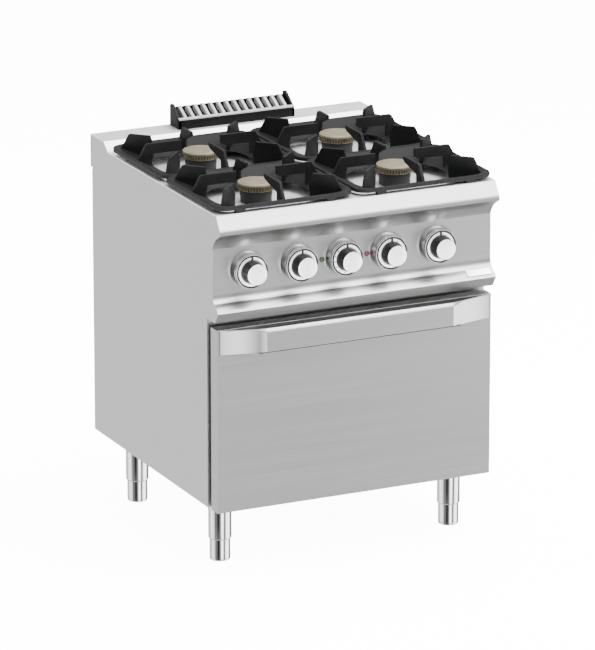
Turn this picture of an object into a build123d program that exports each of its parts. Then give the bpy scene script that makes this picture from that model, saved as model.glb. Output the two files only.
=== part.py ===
"""Four-burner commercial range on a static oven, a 700-series floor module.

Millimetres, +Z up, +X to the right of a cook standing in front, +Y to the back.
While it is drawn, Y = 0 is the front plane of the cabinet behind the door; save()
then moves every piece so that the origin is the bottom centre of the whole range.
"""
import os

from build123d import *

os.makedirs("parts", exist_ok=True)

# ---------------------------------------------------------------- driving dimensions
WIDTH = 700.0
BODY_BOTTOM = 149.6
HOB_LEVEL = 850.0
STRIP_LEVEL = 870.0
HOB_FRONT = -52.0
RAMP_FRONT = 549.0
STRIP_FRONT = 573.0
REAR = 651.0
BACK_PANEL_Y = 641.0
SHEET = 1.5
GAP = 0.3
SLIP = 0.05

KNOB_FACE_Y = -82.0
ORIGIN_Y = (KNOB_FACE_Y + REAR) / 2

HALF = WIDTH / 2
INNER_HALF = HALF - SHEET

# control fascia
FASCIA_BOTTOM, FASCIA_BACK = 598.5, -6.0
PANEL_Y = -30.0
PANEL_LOW, PANEL_HIGH = 664.0, 766.0
KNOB_Z = 710.0
KNOB_X = [-262.0, -137.0, -25.0, 87.0, 211.0]
THERMOSTAT_INDEX = 2
LAMP_X = {"green": -78.0, "red": 35.0}
LAMP_R, LENS_RISE, LENS_BALL_R = 6.5, 3.2, 14.0

# knobs
COLLAR_BASE_R, COLLAR_FRONT_R, COLLAR_DEPTH, COLLAR_WALL = 44.0, 40.6, 19.0, 1.2
DIAL_R, DIAL_T = 38.6, 3.0
DIAL_FRONT_Y = -53.0
GRIP_R = 25.5
GRIP_SIDE_Y = -77.0
SPINDLE_R = 5.0
PUSH_TRAVEL = 6.0

# burners and pan supports
COLUMN_X = 175.0
BURNER_Y = {"front": 113.0, "rear": 413.0}
SUPPORT_FRONT = {"front": -51.5, "rear": 248.5}
SUPPORT_DEPTH = 299.5
SUPPORT_WIDTH = 346.0
SUPPORT_CORNER_R = 34.0
RIM_LOW, RIM_TOP = 857.5, 867.0
SKIRT_LOW = 842.0
SKIRT_T = 7.0
RIM_W = 8.0
SKIRT_INSET = 50.0
FINGER_TOP = 899.0
FINGER_T = 7.0
CAP_R, CAP_LOW, CAP_TOP = 42.5, 853.0, 871.0
CUP_R, CUP_TOP = 37.0, 852.8
WELL_FLOOR = 822.0

# flue grille on the rear strip
FLUE_HALF, FLUE_FRONT, FLUE_BACK = 149.0, 590.0, 645.0
FLUE_BAR_H, FLUE_TOP = 22.0, 922.0
FIN_COUNT, FIN_T = 14, 7.0
PLUG_X, PLUG_Y, PLUG_R, PLUG_T = 300.0, 630.0, 19.0, 0.6

# door, hinged along its bottom edge
DOOR_HALF, DOOR_LOW, DOOR_HIGH = 345.7, 146.8, 580.0
DOOR_FRONT, DOOR_BACK = -43.9, -10.0
DOOR_SHEET = 1.2
HINGE_Y, HINGE_Z = -20.0, 160.0
HINGE_PIN_R, HINGE_X = 4.0, 318.0
HANDLE_LOW, HANDLE_HIGH = 521.7, 578.0
HANDLE_FRONT, HANDLE_T = -73.0, 2.5
HANDLE_FLAT_X, HANDLE_BEND_X, HANDLE_END_X = 235.0, 245.0, 338.5

# oven
MOUTH_HALF, MOUTH_LOW, MOUTH_HIGH = 262.0, 205.0, 540.0
OVEN_BACK = 555.0
OVEN_SHEET = 2.0
WOOL = 36.0
ELEMENT_R, ELEMENT_HALF = 3.2, 175.0
SHELF_Z = 372.0

# feet
FOOT_X, FOOT_YS = 292.8, {"front": 59.9, "rear": 525.3}
SLEEVE_R, FOOT_R, SLEEVE_LOW = 27.0, 24.0, 52.0
FOOT_TUBE_TOP = 100.0

# services through the back panel
GAS_X, GAS_Z, GAS_PIPE_R = 300.0, KNOB_Z, 10.5
MANIFOLD_Y, ELBOW_R, GAS_RUN_R, SPIGOT_BORE_R = 18.5, 13.0, 9.0, 6.0
GLAND_X, GLAND_Z, GLAND_R = -285.0, 230.0, 10.0

SIDES = {"left": -1, "right": 1}


# ---------------------------------------------------------------- helpers
def save(name, part):
    """Write one node, moved to the range's own origin."""
    part = part.moved(Location((0, -ORIGIN_Y, 0)))
    part.label = name
    export_step(part, "parts/" + name + ".step")


def block(x0, x1, y0, y1, z0, z1):
    """A box given by its limits."""
    centre = Pos((x0 + x1) / 2, (y0 + y1) / 2, (z0 + z1) / 2)
    return centre * Box(abs(x1 - x0), abs(y1 - y0), abs(z1 - z0))


def rod_y(x, z, y0, y1, radius, end_radius=None):
    """A round bar, or a cone, along Y from y0 to y1."""
    place = Pos(x, (y0 + y1) / 2, z) * Rot(-90, 0, 0)
    if end_radius is None:
        return place * Cylinder(radius, abs(y1 - y0))
    return place * Cone(radius, end_radius, abs(y1 - y0))


def rod_x(y, z, x0, x1, radius):
    """A round bar along X."""
    return Pos((x0 + x1) / 2, y, z) * Rot(0, 90, 0) * Cylinder(radius, abs(x1 - x0))


def rod_z(x, y, z0, z1, radius):
    """A round bar along Z."""
    return Pos(x, y, (z0 + z1) / 2) * Cylinder(radius, abs(z1 - z0))


def frame_y(x0, x1, z0, z1, width, y0, y1):
    """A picture frame in the XZ plane whose opening is x0..x1 by z0..z1."""
    outer = block(x0 - width, x1 + width, y0, y1, z0 - width, z1 + width)
    return outer - block(x0, x1, y0 - 1, y1 + 1, z0, z1)


def profile_x(edges, x0, x1):
    """Extrude a closed outline drawn as (Y, Z) between two X planes."""
    plane = Plane(origin=(x0, 0, 0), x_dir=(0, 1, 0), z_dir=(1, 0, 0))
    return extrude(plane * make_face(edges), amount=x1 - x0)


def closed(points):
    """A closed polygon as a curve."""
    return Polyline(*points, close=True)


def rounded(width, depth, radius, x, y, z):
    """A rounded rectangle lying flat at height z."""
    return Pos(x, y, z) * RectangleRounded(width, depth, radius)


# ---------------------------------------------------------------- cabinet
def front_contour(top_y, top_z):
    """The control front seen from the side, from the hob edge down to its bottom return."""
    lip = (-73.3, 810.0)
    cove_top = (-50.0, 794.6)
    tip = (-60.0, 623.3)
    return [
        Line((top_y, top_z), (-63.3, 829.0)),
        ThreePointArc((-63.3, 829.0), (-70.2, 820.4), lip),
        ThreePointArc(lip, (-73.2, 808.2), (-71.6, 807.0)),
        Line((-71.6, 807.0), cove_top),
        ThreePointArc(cove_top, (-37.2, 780.5), (PANEL_Y, PANEL_HIGH)),
        Line((PANEL_Y, PANEL_HIGH), (PANEL_Y, PANEL_LOW)),
        ThreePointArc((PANEL_Y, PANEL_LOW), (-32.2, 651.0), (-38.5, 640.5)),
        ThreePointArc((-38.5, 640.5), (-54.0, 630.0), tip),
        ThreePointArc(tip, (-60.0, 621.6), (-58.6, 620.2)),
        Line((-58.6, 620.2), (-44.0, FASCIA_BOTTOM)),
    ]


def side_panel(side):
    """Side sheet: follows the control front, the flat hob and the raised rear strip."""
    top = HOB_LEVEL - SHEET
    strip = STRIP_LEVEL - SHEET
    outline = front_contour(HOB_FRONT, top) + [
        Line((-44.0, FASCIA_BOTTOM), (0, FASCIA_BOTTOM)),
        Line((0, FASCIA_BOTTOM), (0, BODY_BOTTOM)),
        Line((0, BODY_BOTTOM), (BACK_PANEL_Y, BODY_BOTTOM)),
        Line((BACK_PANEL_Y, BODY_BOTTOM), (BACK_PANEL_Y, strip)),
        Line((BACK_PANEL_Y, strip), (STRIP_FRONT, strip)),
        Line((STRIP_FRONT, strip), (RAMP_FRONT, top)),
        Line((RAMP_FRONT, top), (HOB_FRONT, top)),
    ]
    x0 = INNER_HALF if side > 0 else -HALF
    return profile_x(outline, x0, x0 + SHEET)


def fascia_solid():
    """The control front as one full block, the form that its sheet follows."""
    back = FASCIA_BACK
    outline = front_contour(HOB_FRONT, HOB_LEVEL - SHEET) + [
        Line((-44.0, FASCIA_BOTTOM), (back, FASCIA_BOTTOM)),
        Line((back, FASCIA_BOTTOM), (back, HOB_LEVEL - SHEET)),
        Line((back, HOB_LEVEL - SHEET), (HOB_FRONT, HOB_LEVEL - SHEET)),
    ]
    return profile_x(outline, -INNER_HALF, INNER_HALF)


def fascia():
    """Folded control front between the side sheets, pierced for spindles and lamps."""
    solid = fascia_solid()
    shell = solid - Pos(0, SHEET, 0) * solid
    shell += block(-INNER_HALF, INNER_HALF, -43.0, FASCIA_BACK, FASCIA_BOTTOM,
                   FASCIA_BOTTOM + SHEET)
    for x in KNOB_X:
        shell -= rod_y(x, KNOB_Z, PANEL_Y - 5, PANEL_Y + 5, 12.0)
    for x in LAMP_X.values():
        shell -= rod_y(x, KNOB_Z, PANEL_Y - 5, PANEL_Y + 5, LAMP_R)
    return shell


def back_panel():
    """Rear sheet, with holes for the gas pipe and the cable gland."""
    panel = block(-HALF, HALF, BACK_PANEL_Y, BACK_PANEL_Y + SHEET, BODY_BOTTOM, 785.0)
    panel -= rod_y(GAS_X, GAS_Z, BACK_PANEL_Y - 5, BACK_PANEL_Y + 5, GAS_RUN_R + GAP)
    panel -= rod_y(GLAND_X, GLAND_Z, BACK_PANEL_Y - 5, BACK_PANEL_Y + 5, GLAND_R)
    return panel


def base_tray():
    """Bottom sheet with an upturned edge at the back and bolt holes for the feet."""
    tray = block(-INNER_HALF, INNER_HALF, 0, BACK_PANEL_Y, BODY_BOTTOM, BODY_BOTTOM + SHEET)
    tray += block(-INNER_HALF, INNER_HALF, BACK_PANEL_Y - SHEET, BACK_PANEL_Y,
                  BODY_BOTTOM, BODY_BOTTOM + 30)
    for sx in SIDES.values():
        for y in FOOT_YS.values():
            tray -= rod_z(sx * FOOT_X, y, BODY_BOTTOM - 1, BODY_BOTTOM + 5, 6.0)
    return tray


def hob_top():
    """Pressed top: two wells, a ramp to the raised rear strip and a turned-down back."""
    top, low = HOB_LEVEL, HOB_LEVEL - SHEET
    section = [(HOB_FRONT, low), (RAMP_FRONT, low), (STRIP_FRONT, STRIP_LEVEL - SHEET),
               (REAR - SHEET, STRIP_LEVEL - SHEET), (REAR - SHEET, 790.0), (REAR, 790.0),
               (REAR, STRIP_LEVEL), (STRIP_FRONT, STRIP_LEVEL), (RAMP_FRONT, top),
               (HOB_FRONT, top)]
    sheet = profile_x(closed(section), -HALF, HALF)
    rim = 19.0
    width = HALF - rim - 9.0
    x_mid = rim / 2 - 9.0 / 2
    depth = RAMP_FRONT - HOB_FRONT - 2 * rim
    y_mid = (RAMP_FRONT + HOB_FRONT) / 2
    for side in SIDES.values():
        x = side * (HALF / 2 - x_mid)
        mouth = rounded(width, depth, 30, x, y_mid, top)
        floor = rounded(width - 30, depth - 30, 22, x, y_mid, WELL_FLOOR - SHEET)
        inner_mouth = rounded(width - 3, depth - 3, 28.5, x, y_mid, top)
        inner_floor = rounded(width - 33, depth - 33, 20.5, x, y_mid, WELL_FLOOR)
        inside = loft([inner_floor, inner_mouth])
        sheet += loft([floor, mouth])
        sheet -= inside
        for y in BURNER_Y.values():
            sheet -= rod_z(side * COLUMN_X, y, WELL_FLOOR - 5, WELL_FLOOR + 5, 26.0)
    slot_half = FLUE_HALF - 22
    sheet -= block(-slot_half, slot_half, FLUE_FRONT + 12, FLUE_BACK - 12, 860, 880)
    return sheet


def strip_plugs():
    """Two flush plugs that close the upstand fixing holes of the rear strip."""
    return [rod_z(side * PLUG_X, PLUG_Y, STRIP_LEVEL, STRIP_LEVEL + PLUG_T, PLUG_R)
            for side in SIDES.values()]


def top_rails():
    """Two cross rails under the hob that tie the side sheets together."""
    rails = []
    for y in (BURNER_Y["front"] + 150, RAMP_FRONT + 12):
        rail = block(-INNER_HALF, INNER_HALF, y - 15, y + 15, 780, 800)
        rails.append(rail - block(-HALF, HALF, y - 13.5, y + 13.5, 779, 798.5))
    return rails


def maker_plate():
    """Blank plate that follows the fascia's lower moulding at its right-hand end."""
    plate = Pos(0, -47.9, 634.6) * Rot(-56, 0, 0) * block(280, 340, -2.0, 2.0, -9.0, 9.0)
    return plate - fascia_solid()


# ---------------------------------------------------------------- oven
def front_frame():
    """Plate behind the door with the oven mouth and two slots for the hinge lugs."""
    plate = block(-INNER_HALF, INNER_HALF, 0, 2.0, BODY_BOTTOM + SHEET, FASCIA_BOTTOM)
    plate -= block(-MOUTH_HALF, MOUTH_HALF, -1, 3, MOUTH_LOW, MOUTH_HIGH)
    for side in SIDES.values():
        x = side * HINGE_X
        plate -= block(x - 3.2, x + 3.2, -1, 3, HINGE_Z - 8.2, HINGE_Z + 9.2)
    return plate


def oven_seal():
    """Heat-resistant gasket round the oven mouth."""
    return frame_y(-MOUTH_HALF - 6, MOUTH_HALF + 6, MOUTH_LOW - 6, MOUTH_HIGH + 6, 10.0,
                   DOOR_BACK + GAP, 0)


def element_leads():
    """Clearance holes for the four element tails through the back of the oven."""
    holes = Part()
    for z in (MOUTH_HIGH - 18, MOUTH_LOW + 12):
        for sx in SIDES.values():
            holes += rod_y(sx * ELEMENT_HALF, z, OVEN_BACK - 5, OVEN_BACK + 60, ELEMENT_R + 0.3)
    return holes


def oven_liner():
    """Enamelled oven chamber, open at the front."""
    s = OVEN_SHEET
    outer = block(-MOUTH_HALF - s, MOUTH_HALF + s, 2.0, OVEN_BACK + s, MOUTH_LOW - s, MOUTH_HIGH + s)
    hollow = block(-MOUTH_HALF, MOUTH_HALF, 1.0, OVEN_BACK, MOUTH_LOW, MOUTH_HIGH)
    vent = block(-40, 40, OVEN_BACK - 1, OVEN_BACK + 5, MOUTH_HIGH - 15, MOUTH_HIGH - 3)
    return outer - hollow - vent - element_leads()


def oven_insulation():
    """Mineral wool jacket round the chamber."""
    s = OVEN_SHEET
    outer = block(-MOUTH_HALF - s - WOOL, MOUTH_HALF + s + WOOL, 2.0, OVEN_BACK + s + WOOL,
                  MOUTH_LOW - s - WOOL, MOUTH_HIGH + s + WOOL)
    hollow = block(-MOUTH_HALF - s, MOUTH_HALF + s, 1.0, OVEN_BACK + s,
                   MOUTH_LOW - s, MOUTH_HIGH + s)
    vent = block(-40, 40, OVEN_BACK, OVEN_BACK + 60, MOUTH_HIGH - 15, MOUTH_HIGH - 3)
    return outer - hollow - vent - element_leads()


def shelf_runner(side):
    """Wire rack with three levels, hung on one wall of the chamber."""
    wall = side * MOUTH_HALF
    wire = 3.0
    rack = None
    for y in (60.0, OVEN_BACK - 60.0):
        post = rod_z(wall - side * wire, y, MOUTH_LOW + 40, MOUTH_HIGH - 40, wire)
        rack = post if rack is None else rack + post
    for z in (SHELF_Z - 80, SHELF_Z - 6, SHELF_Z + 80):
        for step in (0, 1):
            x = wall - side * (wire + step * 9.0)
            rack += rod_y(x, z, 40.0, OVEN_BACK - 40.0, wire)
        for y in (60.0, OVEN_BACK - 60.0):
            rack += rod_x(y, z, wall - side * wire, wall - side * (wire + 9.0), wire)
    return rack


def shelf_runners():
    """The left and right wire racks."""
    return [shelf_runner(side) for side in SIDES.values()]


def oven_shelf():
    """Chromed wire grid resting on the middle runners."""
    half = MOUTH_HALF - 10.0
    y0, y1 = 45.0, OVEN_BACK - 25.0
    wire = 2.5
    z = SHELF_Z - 3 + 2 * wire / 2
    grid = rod_x(y0, z, -half, half, wire) + rod_x(y1, z, -half, half, wire)
    for x in (-half, half):
        grid += rod_y(x, z, y0, y1, wire)
    count = 15
    for i in range(1, count):
        grid += rod_y(-half + 2 * half * i / count, z, y0, y1, 1.8)
    return grid


def sole_plate():
    """Removable bottom plate over the lower element."""
    plate = block(-MOUTH_HALF + 6, MOUTH_HALF - 6, 14, OVEN_BACK - 10, MOUTH_LOW + 26, MOUTH_LOW + 29)
    for x in (-MOUTH_HALF + 20, MOUTH_HALF - 20):
        plate += block(x - 10, x + 10, 14, OVEN_BACK - 10, MOUTH_LOW, MOUTH_LOW + 26)
    return plate


def element(z):
    """Sheathed heating element bent into a serpentine with round turns."""
    radius, rows = ELEMENT_R, 6
    pitch = 2 * ELEMENT_HALF / (rows - 1)
    y_front, y_back = 90.0, OVEN_BACK + 30.0
    turn_back = OVEN_BACK - 70.0
    x0 = -pitch * (rows - 1) / 2
    pieces = []
    for i in range(rows):
        x = x0 + i * pitch
        far = y_back if i in (0, rows - 1) else turn_back
        pieces.append(rod_y(x, z, y_front, far, radius))
    for i in range(rows - 1):
        x = x0 + (i + 0.5) * pitch
        front = i % 2 == 0
        y = y_front if front else turn_back
        centre = Pos(x, y, z)
        ring = centre * Torus(pitch / 2, radius)
        keep = -1 if front else 1
        half_space = block(x - pitch, x + pitch, y, y + keep * pitch, z - 10, z + 10)
        pieces.append(ring & half_space)
    return Part() + pieces


def heating_elements():
    """Upper and lower elements."""
    return [element(MOUTH_HIGH - 18), element(MOUTH_LOW + 12)]


def thermostat_bulb():
    """Sensing bulb clipped high on the right wall of the chamber."""
    return rod_y(MOUTH_HALF - 12, MOUTH_HIGH - 30, 120, 330, 4.0)


def flue_duct():
    """Duct from the vent in the back of the oven up to the flue grille."""
    y0, y1 = OVEN_BACK + OVEN_SHEET + WOOL, FLUE_BACK - 15
    outer = block(-60, 60, y0, y1, 515, 860)
    inner = block(-60 + SHEET, 60 - SHEET, y0 + SHEET, y1 - SHEET, 515 + SHEET, 861)
    vent = block(-40, 40, y0 - 1, y0 + 3, MOUTH_HIGH - 15, MOUTH_HIGH - 3)
    return outer - inner - vent


# ---------------------------------------------------------------- door
def hinge_pockets():
    """Notches in the bottom of the door that clear the hinge lugs."""
    pockets = None
    for side in SIDES.values():
        x = side * HINGE_X
        pocket = block(x - 7, x + 7, DOOR_FRONT + 8, 1, DOOR_LOW - 1, HINGE_Z + 22)
        pockets = pocket if pockets is None else pockets + pocket
    return pockets


def door_outer_panel():
    """Front tray of the door, bent back round all four edges."""
    s = DOOR_SHEET
    tray = block(-DOOR_HALF, DOOR_HALF, DOOR_FRONT, DOOR_BACK - 1.5, DOOR_LOW, DOOR_HIGH)
    tray -= block(-DOOR_HALF + s, DOOR_HALF - s, DOOR_FRONT + s, DOOR_BACK, DOOR_LOW + s, DOOR_HIGH - s)
    return tray - hinge_pockets()


def door_inner_panel():
    """Back plate of the door with a raised middle field."""
    plate = block(-DOOR_HALF, DOOR_HALF, DOOR_BACK - 1.5, DOOR_BACK, DOOR_LOW, DOOR_HIGH)
    field = block(-MOUTH_HALF + 12, MOUTH_HALF - 12, DOOR_BACK - 1.5, DOOR_BACK + 8,
                  MOUTH_LOW + 12, MOUTH_HIGH - 12)
    hollow = block(-MOUTH_HALF + 13.5, MOUTH_HALF - 13.5, DOOR_BACK - 2, DOOR_BACK + 6.5,
                   MOUTH_LOW + 13.5, MOUTH_HIGH - 13.5)
    return plate + field - hollow - hinge_pockets()


def door_insulation():
    """Wool slab that fills the door."""
    s = DOOR_SHEET
    slab = block(-DOOR_HALF + s, DOOR_HALF - s, DOOR_FRONT + s, DOOR_BACK - 1.5,
                 DOOR_LOW + s, DOOR_HIGH - s)
    return slab - hinge_pockets()


def handle_line(inset):
    """Right half of the handle seen from above, from the middle to the door face."""
    front = HANDLE_FRONT + inset
    return [
        Line((0, front), (HANDLE_FLAT_X, front)),
        Line((HANDLE_FLAT_X, front), (HANDLE_BEND_X, front + 3.0)),
        ThreePointArc((HANDLE_BEND_X, front + 3.0), (288.0, -55.5 + inset),
                      (HANDLE_END_X, DOOR_FRONT - HANDLE_T + inset)),
    ]


def door_handle():
    """Full-width bowed strip: flat in the middle, swept back to the door at both ends."""
    end_front = DOOR_FRONT - HANDLE_T
    outline = handle_line(0) + [
        Line((HANDLE_END_X, end_front), (HANDLE_END_X, DOOR_FRONT)),
        Line((HANDLE_END_X, DOOR_FRONT), (HANDLE_END_X - 14, DOOR_FRONT)),
        ThreePointArc((HANDLE_END_X - 14, DOOR_FRONT), (286.5, -53.0),
                      (HANDLE_BEND_X, HANDLE_FRONT + 3.0 + HANDLE_T)),
        Line((HANDLE_BEND_X, HANDLE_FRONT + 3.0 + HANDLE_T), (HANDLE_FLAT_X, HANDLE_FRONT + HANDLE_T)),
        Line((HANDLE_FLAT_X, HANDLE_FRONT + HANDLE_T), (0, HANDLE_FRONT + HANDLE_T)),
        Line((0, HANDLE_FRONT + HANDLE_T), (0, HANDLE_FRONT)),
    ]
    half = extrude(Pos(0, 0, HANDLE_LOW) * make_face(outline), amount=HANDLE_HIGH - HANDLE_LOW)
    bead_y = HANDLE_FRONT + 4.0
    bead = rod_x(bead_y, HANDLE_HIGH - 4.0, 0, HANDLE_FLAT_X, 4.0)
    half += bead
    return half + mirror(half, about=Plane.YZ)


def hinge_lugs():
    """Cabinet-side lugs, each bored for the door's pin."""
    lugs = []
    for side in SIDES.values():
        x = side * HINGE_X
        lug = block(x - 3, x + 3, HINGE_Y - 9, 2.0, HINGE_Z - 8, HINGE_Z + 9)
        lug += block(x - 14, x + 14, 2.0, 5.0, HINGE_Z - 8, HINGE_Z + 30)
        lugs.append(lug - rod_x(HINGE_Y, HINGE_Z, x - 5, x + 5, HINGE_PIN_R + SLIP))
    return lugs


def hinge_pins():
    """Door-side pins across the two pockets."""
    return [rod_x(HINGE_Y, HINGE_Z, side * HINGE_X - 7, side * HINGE_X + 7, HINGE_PIN_R)
            for side in SIDES.values()]


# ---------------------------------------------------------------- controls
def knob_collars():
    """Polished tapered collars round the knobs, fixed to the fascia."""
    front_y = PANEL_Y - COLLAR_DEPTH
    collars = []
    for x in KNOB_X:
        skin = rod_y(x, KNOB_Z, front_y, PANEL_Y, COLLAR_FRONT_R, COLLAR_BASE_R)
        bore = rod_y(x, KNOB_Z, front_y - 1, PANEL_Y + 1, COLLAR_FRONT_R - COLLAR_WALL,
                     COLLAR_BASE_R - COLLAR_WALL)
        collars.append(skin - bore)
    return collars


def knob(x):
    """Knob moulding: printed disc, black barrel and domed bright face, bored from behind."""
    disc = rod_y(x, KNOB_Z, DIAL_FRONT_Y, DIAL_FRONT_Y + DIAL_T, DIAL_R)
    barrel = rod_y(x, KNOB_Z, GRIP_SIDE_Y, DIAL_FRONT_Y, GRIP_R)
    rise = GRIP_SIDE_Y - KNOB_FACE_Y
    sphere_r = (GRIP_R ** 2 + rise ** 2) / (2 * rise)
    dome = Pos(x, KNOB_FACE_Y + sphere_r, KNOB_Z) * Sphere(sphere_r)
    dome &= rod_y(x, KNOB_Z, KNOB_FACE_Y - 1, GRIP_SIDE_Y, GRIP_R)
    solid = disc + barrel + dome
    return solid - rod_y(x, KNOB_Z, GRIP_SIDE_Y + 5, DIAL_FRONT_Y + 5, SPINDLE_R + SLIP)


def gas_taps():
    """Brass tap bodies behind the fascia, each bored for its plunger."""
    taps = []
    for i, x in enumerate(KNOB_X):
        if i == THERMOSTAT_INDEX:
            continue
        tap = rod_y(x, KNOB_Z, -20, -6, 11.0) + block(x - 15, x + 15, -6, 8, KNOB_Z - 22, KNOB_Z + 20)
        taps.append(tap - rod_y(x, KNOB_Z, -21, 4, SPINDLE_R + SLIP))
    return taps


def gas_pipes():
    """Manifold along the back of the taps, an elbow and the run to the rear inlet."""
    pipe = rod_x(MANIFOLD_Y, KNOB_Z, KNOB_X[0] - 30, GAS_X, GAS_PIPE_R)
    pipe += Pos(GAS_X, MANIFOLD_Y, GAS_Z) * Sphere(ELBOW_R)
    pipe += rod_y(GAS_X, GAS_Z, MANIFOLD_Y, REAR - 1, GAS_RUN_R)
    pipe += rod_y(GAS_X, GAS_Z, BACK_PANEL_Y + SHEET + 0.5, REAR - 1, GAS_PIPE_R)
    return [pipe - rod_y(GAS_X, GAS_Z, BACK_PANEL_Y - 60, REAR, SPIGOT_BORE_R)]


def tap_plunger(x):
    """Push rod of a gas tap: slides in the tap and carries the turning knob."""
    return rod_y(x, KNOB_Z, GRIP_SIDE_Y + 6, -PUSH_TRAVEL - 1, SPINDLE_R)


def thermostat_body():
    """Oven thermostat behind the middle knob."""
    x = KNOB_X[THERMOSTAT_INDEX]
    body = block(x - 22, x + 22, -22, 7, KNOB_Z - 24, KNOB_Z + 24)
    return body - rod_y(x, KNOB_Z, -23, -3, SPINDLE_R + SLIP)


def oven_thermostat():
    """Thermostat body and its sensing bulb."""
    return [thermostat_body(), thermostat_bulb()]


def thermostat_spindle():
    """Spindle pressed into the thermostat knob."""
    x = KNOB_X[THERMOSTAT_INDEX]
    return rod_y(x, KNOB_Z, GRIP_SIDE_Y + 6, -4, SPINDLE_R)


def lamp(name):
    """Pilot lamp: domed lens in front, barrel behind."""
    x = LAMP_X[name]
    barrel = rod_y(x, KNOB_Z, PANEL_Y - 1, PANEL_Y + 22, LAMP_R - 0.5)
    ball = Pos(x, PANEL_Y - LENS_RISE + LENS_BALL_R, KNOB_Z) * Sphere(LENS_BALL_R)
    lens = ball & rod_y(x, KNOB_Z, PANEL_Y - 5, PANEL_Y, LAMP_R)
    return barrel + lens


# ---------------------------------------------------------------- hob
def burner_cups():
    """Black cast cups that stand in the wells."""
    cups = []
    for side in SIDES.values():
        for y in BURNER_Y.values():
            x = side * COLUMN_X
            cup = rod_z(x, y, WELL_FLOOR, CUP_TOP, CUP_R) + rod_z(x, y, 796, WELL_FLOOR, 24.0)
            cup -= rod_z(x, y, 800, CUP_TOP + 1, 18.0)
            cups.append(cup)
    return cups


def burner_mixers():
    """Venturi tubes that feed the cups from the front."""
    mixers = []
    for side in SIDES.values():
        for y in BURNER_Y.values():
            x = side * COLUMN_X
            tube = rod_y(x, 784, y - 70, y + 20, 12.0) + rod_z(x, y, 772, 796, 20.0)
            tube += rod_y(x, 784, y - 90, y - 70, 17.0, 12.0)
            mixers.append(tube)
    return mixers


def burner_cap(x, y):
    """Loose flame spreader with a shallow crown and a spigot in the cup."""
    cap = rod_z(x, y, CAP_LOW, CAP_TOP - 3, CAP_R)
    cap += Pos(x, y, CAP_TOP - 1.5) * Cone(CAP_R, CAP_R - 4, 3)
    cap += rod_z(x, y, CAP_LOW - 10, CAP_LOW, 17.5)
    return cap


def thermocouples():
    """Flame sensors beside the burner cups."""
    return [rod_z(side * COLUMN_X + 12, y + 41.0, WELL_FLOOR, 850, 2.0)
            for side in SIDES.values() for y in BURNER_Y.values()]


def finger(length, root_gap, arm_drop, tip_drop, foot_z):
    """One support finger in its own plane: X runs outwards from the burner's edge."""
    slant = 20.0
    outer = length + slant
    leg = 34.0
    points = [(0, FINGER_TOP), (length, FINGER_TOP), (outer, foot_z), (outer - leg, foot_z - root_gap),
              (outer - leg, FINGER_TOP - arm_drop), (0, FINGER_TOP - tip_drop)]
    plane = Plane(origin=(0, 0, 0), x_dir=(1, 0, 0), z_dir=(0, -1, 0))
    face = plane * make_face(closed(points))
    return extrude(face, amount=FINGER_T / 2, both=True)


def pan_support(side, row):
    """Cast pan support: raised rim, sloping skirt, feet and eight fingers."""
    x_mid = side * (HALF - 1.5 - SUPPORT_WIDTH / 2)
    y_mid = SUPPORT_FRONT[row] + SUPPORT_DEPTH / 2
    wide, deep, r = SUPPORT_WIDTH, SUPPORT_DEPTH, SUPPORT_CORNER_R
    inset = 2 * SKIRT_INSET
    rim = extrude(rounded(wide, deep, r, x_mid, y_mid, RIM_LOW), amount=RIM_TOP - RIM_LOW)
    skirt_low = rounded(wide - inset, deep - inset, 80, x_mid, y_mid, SKIRT_LOW)
    under = rounded(wide - 4, deep - 4, r - 2, x_mid, y_mid, RIM_LOW)
    body = rim + loft([skirt_low, under])
    hollow_low = rounded(wide - inset - 2 * SKIRT_T, deep - inset - 2 * SKIRT_T, 74,
                         x_mid, y_mid, SKIRT_LOW - 0.01)
    hollow_top = rounded(wide - 2 * RIM_W, deep - 2 * RIM_W, r - RIM_W, x_mid, y_mid, RIM_TOP + 0.01)
    body -= loft([hollow_low, hollow_top])
    body += support_feet(x_mid, y_mid)
    return body + support_fingers(side, row, x_mid, y_mid)


def support_feet(x_mid, y_mid):
    """Four pads that stand on the flat edge of the hob."""
    feet = Part()
    for sx in (-1, 1):
        for sy in (-1, 1):
            x = x_mid + sx * (SUPPORT_WIDTH / 2 - 60)
            y = y_mid + sy * (SUPPORT_DEPTH / 2 - 6)
            feet += block(x - 12, x + 12, y - 5, y + 5, HOB_LEVEL, RIM_LOW + 1)
    return feet


def support_fingers(side, row, x_mid, y_mid):
    """Four long fingers on the axes and four short plates on the diagonals."""
    bx, by = side * COLUMN_X, BURNER_Y[row]
    half_w, half_d = SUPPORT_WIDTH / 2, SUPPORT_DEPTH / 2
    tip = 50.0
    edge = 34.0
    reach = {0: x_mid + half_w - bx, 90: y_mid + half_d - by,
             180: bx - x_mid + half_w, 270: by - y_mid + half_d}
    fingers = Part()
    for angle, distance in reach.items():
        length = distance - tip - edge
        tip_drop = 24.0 if angle in (0, 180) else 12.0
        plate = finger(length, 16.0, 25.0, tip_drop, 861.0)
        fingers += Pos(bx, by, 0) * Rot(0, 0, angle) * Pos(tip, 0, 0) * plate
    for sx in (-1, 1):
        for sy in (-1, 1):
            fingers += corner_plate(sx, sy, x_mid + sx * half_w, y_mid + sy * half_d)
    return fingers


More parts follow.
